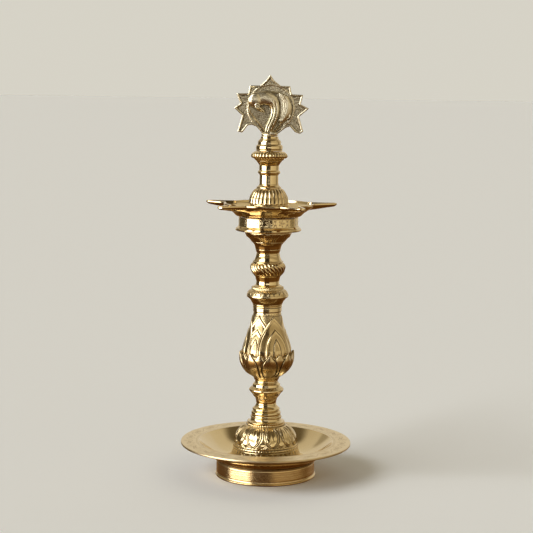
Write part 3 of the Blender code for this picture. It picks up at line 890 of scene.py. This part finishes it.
FAN_RIGHT = [(0.0, 305.0), (3.0, 300.6), (8.0, 296.7), (14.9, 296.6), (16.2, 290.6), (24.7, 290.2),
             (23.0, 283.3), (29.2, 280.0), (21.9, 273.9), (25.1, 262.9), (22.6, 261.2),
             (18.9, 262.4), (15.2, 266.7), (11.6, 265.4), (6.2, 261.0)]
FAN_LEFT = [(5.5, 261.0), (9.4, 265.9), (13.2, 267.6), (16.4, 267.0), (20.6, 261.6), (24.1, 262.4),
            (20.7, 274.5), (26.9, 280.0), (22.1, 283.3), (25.0, 290.8), (16.2, 291.0),
            (15.2, 296.8), (7.4, 296.8), (3.0, 300.6)]
MEDALLION = (0.5, 280.4)
MEDALLION_RADIUS = 17.0
PEACOCK_EDGE = [(-3.6, 262.0), (4.4, 262.0), (9.0, 268.0), (15.6, 273.0), (17.0, 281.0),
                (13.6, 289.0), (6.0, 292.4), (-4.0, 293.3), (-12.0, 292.2), (-16.9, 287.6),
                (-16.9, 281.0), (-15.4, 276.4), (-11.0, 270.6)]
# Centre line of the neck as (x, z, half width), from the breast over the arch to the nape.
NECK = [(-1.4, 262.4, 2.6), (0.0, 266.5, 3.2), (2.1, 271.0, 3.3), (3.6, 276.0, 3.3),
        (3.6, 281.0, 3.7), (1.4, 285.4, 4.6), (-3.6, 287.6, 5.2), (-9.4, 287.0, 5.4)]
HEAD = (-10.8, 286.2, 5.9)
BEAK = [(-9.4, 281.2, 2.6), (-6.8, 279.0, 1.7), (-4.6, 277.4, 0.7)]
WING = [(9.4, 290.0, 3.0), (11.6, 284.4, 4.4), (11.2, 277.6, 4.2), (8.6, 271.4, 2.4)]


def closed_edge(points, step):
    """A closed outline with its corners slightly rounded, split into short segments."""
    ring = soften([points[-1]] + points + [points[0]], 0.5)[1:-1]
    return np.array(densify(ring + [ring[0]], step)[:-1], float)


def inside_edge(points, edge):
    """Which points lie inside a closed edge, by counting crossings."""
    x = points[:, 0][:, None]
    z = points[:, 1][:, None]
    x0, z0 = edge[:, 0][None, :], edge[:, 1][None, :]
    x1, z1 = np.roll(edge, -1, axis=0).T
    crosses = (z0 > z) != (z1[None, :] > z)
    rise = np.where(np.abs(z1 - z0) < 1e-9, 1e-9, z1 - z0)
    where = x0 + (z - z0) * (x1 - x0) / rise
    return (crosses & (x < where)).sum(axis=1) % 2 == 1


def plate_points(edge, step):
    """Points of a triangular grid inside an edge, after the edge's own points."""
    low, high = edge.min(0), edge.max(0)
    rows = np.arange(low[1], high[1], step * 0.87)
    grid = []
    for index, height in enumerate(rows):
        start = low[0] + (0.5 * step if index % 2 else 0.0)
        xs = np.arange(start, high[0], step)
        grid.append(np.stack([xs, np.full(len(xs), height)], axis=1))
    grid = np.concatenate(grid)
    grid = grid[inside_edge(grid, edge)]
    grid = grid[edge_distance(grid, edge) > 0.45 * step]
    return np.concatenate([edge, grid])


def plate_shell(outline_points, step, front, back):
    """A closed plate: front(x, z, d) and back(x, z, d) give y and recess, d mm from the edge."""
    edge = closed_edge(outline_points, step)
    points = plate_points(edge, step)
    count = len(edge)
    border = [(i, (i + 1) % count) for i in range(count)]
    vectors = [Vector(p) for p in points]
    made = delaunay_2d_cdt(vectors, border, [list(range(count))], 1, 1e-5)
    flat = np.array([tuple(v) for v in made[0]], float)
    triangles = np.array([f for f in made[2] if len(f) == 3], int)
    new_index = {old: new for new, olds in enumerate(made[3]) for old in olds}
    ring = [new_index[i] for i in range(count)]
    a, b, c = (flat[triangles[:, k]] for k in range(3))
    area = (b[:, 0] - a[:, 0]) * (c[:, 1] - a[:, 1]) - (b[:, 1] - a[:, 1]) * (c[:, 0] - a[:, 0])
    triangles[area < 0] = triangles[area < 0][:, ::-1]
    x, z = flat[:, 0], flat[:, 1]
    near = edge_distance(flat, edge)
    near[ring] = 0.0
    sheets = [face(x, z, near) for face in (front, back)]
    points = np.concatenate([np.stack([x, y, z], axis=1) for y, _ in sheets])
    total = len(flat)
    faces = [tuple(t) for t in triangles]
    faces += [(t[2] + total, t[1] + total, t[0] + total) for t in triangles]
    x, z = flat[ring].T
    clockwise = np.sum(x * np.roll(z, -1) - np.roll(x, -1) * z) < 0
    for start, end in zip(ring, ring[1:] + ring[:1]):
        wall = (start, start + total, end + total, end)
        faces.append(wall[::-1] if clockwise else wall)
    return points, faces, np.concatenate([recess for _, recess in sheets])


def lathe_shell(profile, columns=64):
    """A closed solid of revolution whose profile starts and ends near the axis."""
    loop = np.array(densify(soften(profile, 0.25), 0.8), float)
    points = around(loop[:, :1], angles(columns), loop[:, 1:])
    return points, ring_quads(len(loop), columns), np.zeros(len(points))


def join_shells(name, *shells, sharp=45.0):
    """One mesh from several closed shells, each (points, faces, recess)."""
    faces = []
    base = 0
    for points, shell_faces, _ in shells:
        faces += [tuple(int(i) + base for i in face) for face in shell_faces]
        base += len(points)
    points, _, marks = zip(*shells)
    mesh = bpy.data.meshes.new(name)
    mesh.from_pydata((np.concatenate(points) * MM).tolist(), [], faces)
    mesh.shade_smooth()
    mesh.set_sharp_from_angle(angle=math.radians(sharp))
    add_value(mesh, "recess", np.concatenate(marks))
    return mesh


def stipple(x, z, scale):
    """Small uneven punch marks, from -1 to 1."""
    first = np.sin(scale * x + 1.9 * np.sin(0.61 * scale * z))
    second = np.sin(1.07 * scale * z + 1.7 * np.sin(0.57 * scale * x))
    return first * second


def quills(x, z, centre, count, width):
    """Lines that run out from a centre in even steps, and each point's distance from it."""
    turn = np.arctan2(x - centre[0], z - centre[1])
    reach = np.hypot(x - centre[0], z - centre[1])
    spacing = TAU / count
    offset = (turn / spacing - np.round(turn / spacing)) * spacing * reach
    return line(offset, width), reach


def fan_front(x, z, d):
    """A raised rim, a punched ground with feather lines, and a ring round the medallion."""
    lines, reach = quills(x, z, MEDALLION, 54, 0.35)
    feather = lines * (reach > MEDALLION_RADIUS + 0.8)
    ring = line(reach - MEDALLION_RADIUS, 0.9) * (z > 264.0)
    ground = smooth(0.9, 1.6, d)
    marks = 0.6 * stipple(x, z, 4.6) + 0.7 * stipple(x + 3.1, z, 2.3)
    depth = 0.62 * ground - 0.16 * ground * marks - 0.4 * ring * ground
    depth += 0.15 * feather * ground
    depth += 0.30 * unit(1.0 - d / 0.5) ** 2
    recess = ground * (0.40 + 0.75 * unit(-marks) + 0.30 * feather) * (1.0 - ring)
    recess += 0.6 * line(d - 1.6, 0.5) + 0.12 * (1.0 - ground)
    return -1.3 + depth, unit(recess)


def fan_back(x, z, d):
    """A plain back with a soft rim and shallow tail feathers drawn from the middle."""
    lines, reach = quills(x, z, (0.0, 268.0), 44, 0.45)
    quill = lines * smooth(7.0, 10.0, reach) * smooth(1.2, 2.0, d)
    eye = grooves(np.hypot(x, z - 286.0), (4.5, 0.6), (2.0, 0.6))
    depth = 0.45 * smooth(0.8, 1.6, d) + 0.2 * quill + 0.18 * eye
    depth += 0.45 * unit(1.0 - d / 0.5) ** 2
    recess = 0.3 * smooth(1.2, 2.2, d) + 0.35 * quill + 0.4 * eye
    return 1.3 - depth, unit(recess)


def peacock_fan():
    plate = plate_shell(FAN_RIGHT + [(-x, z) for x, z in FAN_LEFT], 0.42, fan_front, fan_back)
    root = [(0.05, 244.2), (2.7, 244.2), (3.0, 244.6), (3.0, 259.4), (5.9, 259.4), (6.3, 259.8),
            (6.2, 260.9), (5.0, 261.6), (0.05, 261.6)]
    mesh = join_shells("peacock_fan_fine", plate, lathe_shell(root), neck_block())
    place(mesh, "peacock_fan", "antique_brass", matte=0.6)


def neck_block():
    """The small rounded block on the front of the neck, under the bird."""
    half = [(2.4, 0.0), (2.3, 1.4), (1.9, 2.4), (0.05, 2.4)]
    profile = [(r, -z) for r, z in half[:0:-1]] + half
    points, faces, marks = lathe_shell(profile, 24)
    turned_over = np.stack([points[:, 2] + 2.7, points[:, 0] * 0.45 - 5.6,
                            points[:, 1] * 0.65 + 261.2], axis=1)
    return turned_over, faces, marks


def along_path(x, z, path):
    """Nearest part of a path for each point: (share of half width -1 to 1, half width, length)."""
    best = np.full(x.shape, 1e9)
    result = [np.full(x.shape, 9.0), np.ones(x.shape), np.zeros(x.shape)]
    walked = 0.0
    for (x0, z0, w0), (x1, z1, w1) in zip(path, path[1:]):
        run_x, run_z = x1 - x0, z1 - z0
        length = math.hypot(run_x, run_z)
        t = unit(((x - x0) * run_x + (z - z0) * run_z) / length ** 2)
        gap_x = x - (x0 + run_x * t)
        gap_z = z - (z0 + run_z * t)
        width = w0 + (w1 - w0) * t
        share = np.hypot(gap_x, gap_z) / width
        closer = share < best
        best = np.where(closer, share, best)
        side = np.sign(run_x * gap_z - run_z * gap_x)
        found = (side * share, width, walked + t * length)
        result = [np.where(closer, new, old) for new, old in zip(found, result)]
        walked += length
    return result


def smooth_path(path, steps=6):
    """A path through the same points, bent smoothly between them."""
    points = np.array([path[0]] + path + [path[-1]], float)
    result = []
    for before, start, end, after in zip(points, points[1:], points[2:], points[3:]):
        for index in range(steps):
            t = index / steps
            bend = 2 * start + (end - before) * t
            bend = bend + (2 * before - 5 * start + 4 * end - after) * t ** 2
            bend = bend + (3 * start - before - 3 * end + after) * t ** 3
            result.append(tuple(0.5 * bend))
    result.append(tuple(points[-1]))
    return result


def rounded(share):
    """Height of a round bar from its share of the half width: 1 in the middle, 0 at the side."""
    return np.sqrt(unit(1.0 - share ** 2))


def peacock_front(x, z, d):
    """The bird in relief: arched neck of three strands, head, curl, beak and folded wing."""
    marks = stipple(x, z, 2.6)
    height = 0.7 + 0.15 * marks
    # Ground round the bird: grimy specks from the stipple over an even painted shade in its cavity.
    recess = 0.62 + 0.45 * unit(-marks)
    rim = line(d - 0.9, 0.9)
    height = np.maximum(height, 0.4 + 1.1 * rim)
    recess = recess * (1.0 - rim)
    share, _, _ = along_path(x, z, smooth_path(WING))
    on_wing = np.abs(share) < 1.0
    stripes = line(((share * 3.4) % 1.0) - 0.5, 0.30) * on_wing * (share < 0.35)
    height = np.maximum(height, (1.1 + 1.4 * rounded(share) - 0.35 * stripes) * on_wing)
    recess = np.where(on_wing, 0.30 + 0.7 * stripes, recess)
    share, _, length = along_path(x, z, smooth_path(NECK))
    on_neck = np.abs(share) < 1.0
    strands = grooves(share, (0.40, 0.20), (-0.28, 0.20))
    lower = smooth(25.0, 19.0, length)
    scales = unit(stipple(length, share * 4.0, 3.3)) * (1.0 - lower)
    bar = 1.3 + 3.9 * rounded(share) ** 0.6 - 1.4 * strands * lower - 0.12 * scales
    height = np.maximum(height, bar * on_neck)
    recess = np.where(on_neck, 0.85 * strands * lower + 0.12 * scales, recess)
    recess = np.maximum(recess, 0.9 * line(np.abs(share) - 1.0, 0.14))
    from_head = np.hypot(x - HEAD[0], z - HEAD[1]) / HEAD[2]
    on_head = from_head < 1.0
    height = np.maximum(height, (1.4 + 4.4 * rounded(from_head) ** 0.6) * on_head)
    recess = np.where(on_head, 0.0, recess)
    share, width, _ = along_path(x, z, smooth_path(BEAK))
    on_beak = np.abs(share) < 1.0
    height = np.maximum(height, (1.6 + 1.5 * width * rounded(share)) * on_beak)
    recess = np.where(on_beak, 0.05, recess)
    eye = np.hypot(x + 9.4, z - 281.6)
    height += 0.55 * line(eye - 1.5, 0.7) - 0.4 * line(eye, 0.8)
    recess = most(recess, 0.8 * line(eye - 2.5, 0.6) * (x > -12.5), 0.7 * line(eye, 0.9))
    height = np.minimum(height, 5.9) * smooth(-0.2, 0.7, d)
    return -1.7 - height, unit(recess)


def peacock_back(x, z, d):
    return np.full(x.shape, -1.6), np.zeros(x.shape)


def peacock():
    shell = plate_shell(PEACOCK_EDGE, 0.34, peacock_front, peacock_back)
    place(join_shells("peacock_fine", shell, sharp=60.0), "peacock", "antique_brass", matte=0.4)


# ---- studs, nut and washer

def stud(node, radius):
    """A stud with a rolled right-hand thread, between its CAD node's own ends."""
    low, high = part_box(node)
    bottom = low.z / MM
    top = high.z / MM
    columns = 48
    rows = int((top - bottom - 1.6) / 0.12)
    heights = np.linspace(bottom + 0.8, top - 0.8, rows)
    ends = [(0.4, bottom), (radius - 0.8, bottom)]
    caps = [(radius - 0.8, top), (0.4, top)]
    loop = np.array(ends + [(radius, z) for z in heights] + caps, float)
    phi = angles(columns)
    z = loop[:, 1:] + 0.0 * phi
    cut = np.abs((z / THREAD_PITCH - phi / TAU) % 1.0 - 0.5) * 2.0
    on_thread = np.zeros((len(loop), 1))
    on_thread[2:-2] = 1.0
    runout = smooth(bottom + 0.4, bottom + 1.6, z) * (1 - smooth(top - 1.6, top - 0.4, z))
    depth = THREAD_DEPTH * smooth(0.1, 0.95, cut) * on_thread
    r = loop[:, :1] - depth * runout - 0.35 * (1 - runout) * on_thread
    points = around(r, phi, z)
    middle = len(points)
    last = middle - columns
    faces = list(ring_quads(len(loop), columns)[:last])
    for index in range(columns):
        other = (index + 1) % columns
        faces.append((middle, other, index))
        faces.append((middle + 1, last + index, last + other))
    points = np.concatenate([points, [[0, 0, bottom], [0, 0, top]]])
    recess = np.concatenate([(0.5 * depth / THREAD_DEPTH).ravel(), [0.0, 0.0]])
    place(join_shells(node + "_fine", (points, faces, recess), sharp=50.0), node, "drawn_brass")


def base_washer():
    outer = [(8.7, 8.9), (9.0, 9.2), (9.0, 9.8), (8.7, 10.1)]
    turned("base_washer", outer, columns=96, fillet=0.1, slot="drawn_brass")


def nut_relief(phi, r, z):
    """Bring a round blank in to six flats, with a chamfer at each end."""
    turn = (phi + math.pi / 6.0) % (math.pi / 3.0) - math.pi / 6.0
    flats = 6.5 / np.cos(turn)
    chamfer = 0.9 * unit(1.0 - np.minimum(z - 2.6, 8.6 - z) / 0.8)
    reach = np.minimum(flats, 7.35 - chamfer)
    return np.where(r > 6.0, reach - 7.5, 0.0), 0.0


def base_nut():
    outer = [(7.5, 2.6), (7.5, 8.6)]
    turned("base_nut", outer, None, nut_relief, columns=240, step=0.2, slot="drawn_brass")


# ---- stage

def camera():
    data = bpy.data.cameras.new("camera")
    data.lens = CAMERA_LENS
    data.sensor_width = CAMERA_SENSOR
    data.clip_start, data.clip_end = CAMERA_CLIP
    obj = bpy.data.objects.new("camera", data)
    bpy.context.scene.collection.objects.link(obj)
    tilt = Euler((math.radians(90.0 - CAMERA_PITCH_DOWN), 0.0, 0.0)).to_matrix()
    roll = Matrix.Rotation(math.radians(CAMERA_ROLL), 3, "Z")
    obj.rotation_euler = (tilt @ roll).to_euler()
    obj.location = (CAMERA_SIDE, -CAMERA_DISTANCE, CAMERA_HEIGHT)
    bpy.context.scene.camera = obj


def floor():
    """A plain pale floor: one large plane that runs on to the backdrop."""
    mesh = bpy.data.meshes.new("floor")
    half = FLOOR_SIZE / 2.0
    mesh.from_pydata([(-half, -half, 0), (half, -half, 0), (half, half, 0), (-half, half, 0)], [],
                     [(0, 1, 2, 3)])
    obj = bpy.data.objects.new("floor", mesh)
    bpy.context.scene.collection.objects.link(obj)
    material = bpy.data.materials.new("floor")
    material.use_nodes = True
    shader = material.node_tree.nodes["Principled BSDF"]
    shader.inputs["Base Color"].default_value = (*FLOOR_COLOUR, 1.0)
    shader.inputs["Roughness"].default_value = 1.0
    shader.inputs["Specular IOR Level"].default_value = 0.0
    mesh.materials.append(material)
    obj.visible_glossy = False


# Brightness of the room round the lamp.
WINDOW = (6.0, 6.0, 6.0)
SIDE_SHADE = (0.035, 0.027, 0.018)
FRONT_SHADE = (0.02, 0.015, 0.009)
BACK_WALL = (0.74, 0.69, 0.60)
BACK_CORNER = (0.66, 0.60, 0.50)
RIGHT_CORNER = (0.62, 0.56, 0.47)
HIGH_WALL = (0.70, 0.64, 0.53)
# At the lamp's height, as (PHI in degrees, colour).
ROOM = [(-180, BACK_WALL), (-152, BACK_CORNER), (-147, (0.12, 0.10, 0.065)),
        (-91, (0.07, 0.055, 0.035)), (-87, WINDOW), (-38, WINDOW), (-34, SIDE_SHADE),
        (-8, (0.05, 0.04, 0.027)), (14, FRONT_SHADE), (18, (0.86, 0.75, 0.54)),
        (60, (0.70, 0.61, 0.43)), (92, (0.60, 0.51, 0.35)), (96, (0.30, 0.25, 0.16)),
        (118, (0.34, 0.28, 0.18)), (124, RIGHT_CORNER), (180, BACK_WALL)]
# The same room above the cross beam.
HIGH_ROOM = [(-180, HIGH_WALL), (-100, (0.50, 0.43, 0.30)), (-91, (0.20, 0.16, 0.10)),
             (-87, WINDOW), (-38, WINDOW), (-34, SIDE_SHADE), (14, FRONT_SHADE),
             (18, (0.80, 0.69, 0.48)), (92, (0.56, 0.48, 0.33)), (180, HIGH_WALL)]
# The same room in a belt at the height of the window's cross beam.
BEAM = [(-180, BACK_WALL), (-152, BACK_CORNER), (-147, (0.36, 0.31, 0.22)),
        (-78, (0.34, 0.29, 0.20)), (-64, (1.20, 1.12, 0.95)), (-36, (1.40, 1.30, 1.10)),
        (-30, (0.20, 0.16, 0.10)), (13, (0.15, 0.12, 0.07)), (20, (0.42, 0.35, 0.22)),
        (92, (0.40, 0.33, 0.21)), (118, (0.36, 0.30, 0.20)), (124, RIGHT_CORNER),
        (180, BACK_WALL)]
# Heights of edges in the room as low and high ends, from -1 straight down to 1 straight up.
BEAM_LOW = (0.22, 0.30)
BEAM_HIGH = (0.46, 0.54)
CEILING_EDGE = (0.70, 0.82)
CEILING_BACK = (0.30, 0.50)
TABLE_EDGE = (-0.26, -0.14)
EYE_LEVEL = (1.60, 1.52, 1.36)
GROUND = (0.090, 0.037, 0.008)
GROUND_MIRROR = (0.19, 0.12, 0.05)
CEILING = (0.13, 0.10, 0.055)
BACKDROP = (0.675, 0.648, 0.568)


def room_ramp(make, share, stops):
    """A colour ramp round the room from (PHI in degrees, colour) stops."""
    ramp = make("ShaderNodeValToRGB", Fac=share)
    elements = ramp.color_ramp.elements
    while len(elements) > 1:
        elements.remove(elements[-1])
    for index, (degrees, colour) in enumerate(stops):
        position = (degrees + 180.0) / 360.0
        element = elements[0] if index == 0 else elements.new(position)
        element.position = position
        element.color = (*colour, 1.0)
    return ramp.outputs[0]


def world():
    """Soft studio surroundings: a bright window, a dark side, a plain wall and a warm ground."""
    made = bpy.data.worlds.new("studio")
    bpy.context.scene.world = made
    made.use_nodes = True
    made.node_tree.nodes.clear()
    make = node_maker(made)
    direction = make("ShaderNodeTexCoord").outputs["Generated"]
    right, away, height = make("ShaderNodeSeparateXYZ", Vector=direction).outputs

    def calc(how, first, second):
        return make("ShaderNodeMath", {"operation": how}, i0=first, i1=second).outputs[0]

    def rise(low, high, value=height, **ends):
        return make("ShaderNodeMapRange", {"interpolation_type": "SMOOTHSTEP"}, Value=value,
                    From_Min=low, From_Max=high, **ends).outputs[0]

    front = calc("MULTIPLY", away, -1.0)
    share = make("ShaderNodeMapRange", Value=calc("ARCTAN2", right, front), From_Min=-math.pi,
                 From_Max=math.pi).outputs[0]
    low_room, beam, high_room = (room_ramp(make, share, stops)
                                 for stops in (ROOM, BEAM, HIGH_ROOM))
    walls = blend(make, rise(*BEAM_LOW), low_room, beam)
    walls = blend(make, rise(*BEAM_HIGH), walls, high_room)
    at_eye = calc("SUBTRACT", rise(-0.03, 0.02), rise(0.10, 0.17))
    facing = calc("MULTIPLY", rise(0.92, 0.98, front), at_eye)
    walls = blend(make, facing, walls, EYE_LEVEL)
    overhead = calc("MULTIPLY", rise(*CEILING_EDGE),
                    rise(*CEILING_BACK, away, To_Min=1.0, To_Max=0.0))
    sky = blend(make, overhead, walls, CEILING)
    tint = blend(make, rise(-0.75, -0.10), (0.0, 0.0, 0.0), GROUND_MIRROR)
    mirrored = blend(make, 1.0, low_room, tint, "MULTIPLY")
    ground = blend(make, 1.0, GROUND, mirrored, "ADD")
    light = make("ShaderNodeBackground", Color=blend(make, rise(*TABLE_EDGE), ground, sky))
    seen = make("ShaderNodeBackground", Color=(*BACKDROP, 1.0))
    path = make("ShaderNodeLightPath")
    mixed = make("ShaderNodeMixShader", i0=path.outputs["Is Camera Ray"], i1=light.outputs[0],
                 i2=seen.outputs[0])
    make("ShaderNodeOutputWorld", Surface=mixed.outputs[0])


def build():
    for make_piece in (foot_ring, tray, base_bell, neck_collar, disc_knop, base_washer, base_nut,
                       lotus_calyx, lotus_vase, flange_knop, rope_knop, cup_capital, dish_foot,
                       oil_dish, finial_stem, finial_cap):
        make_piece()
    for node in ("base_stud", "vase_stud", "upper_stud", "cup_stud", "dish_stud"):
        stud(node, STUD_RADIUS)
    stud("finial_stud", FINIAL_STUD_RADIUS)
    peacock_fan()
    peacock()
    camera()
    floor()
    world()
    bpy.context.scene.view_settings.view_transform = "Standard"


build()
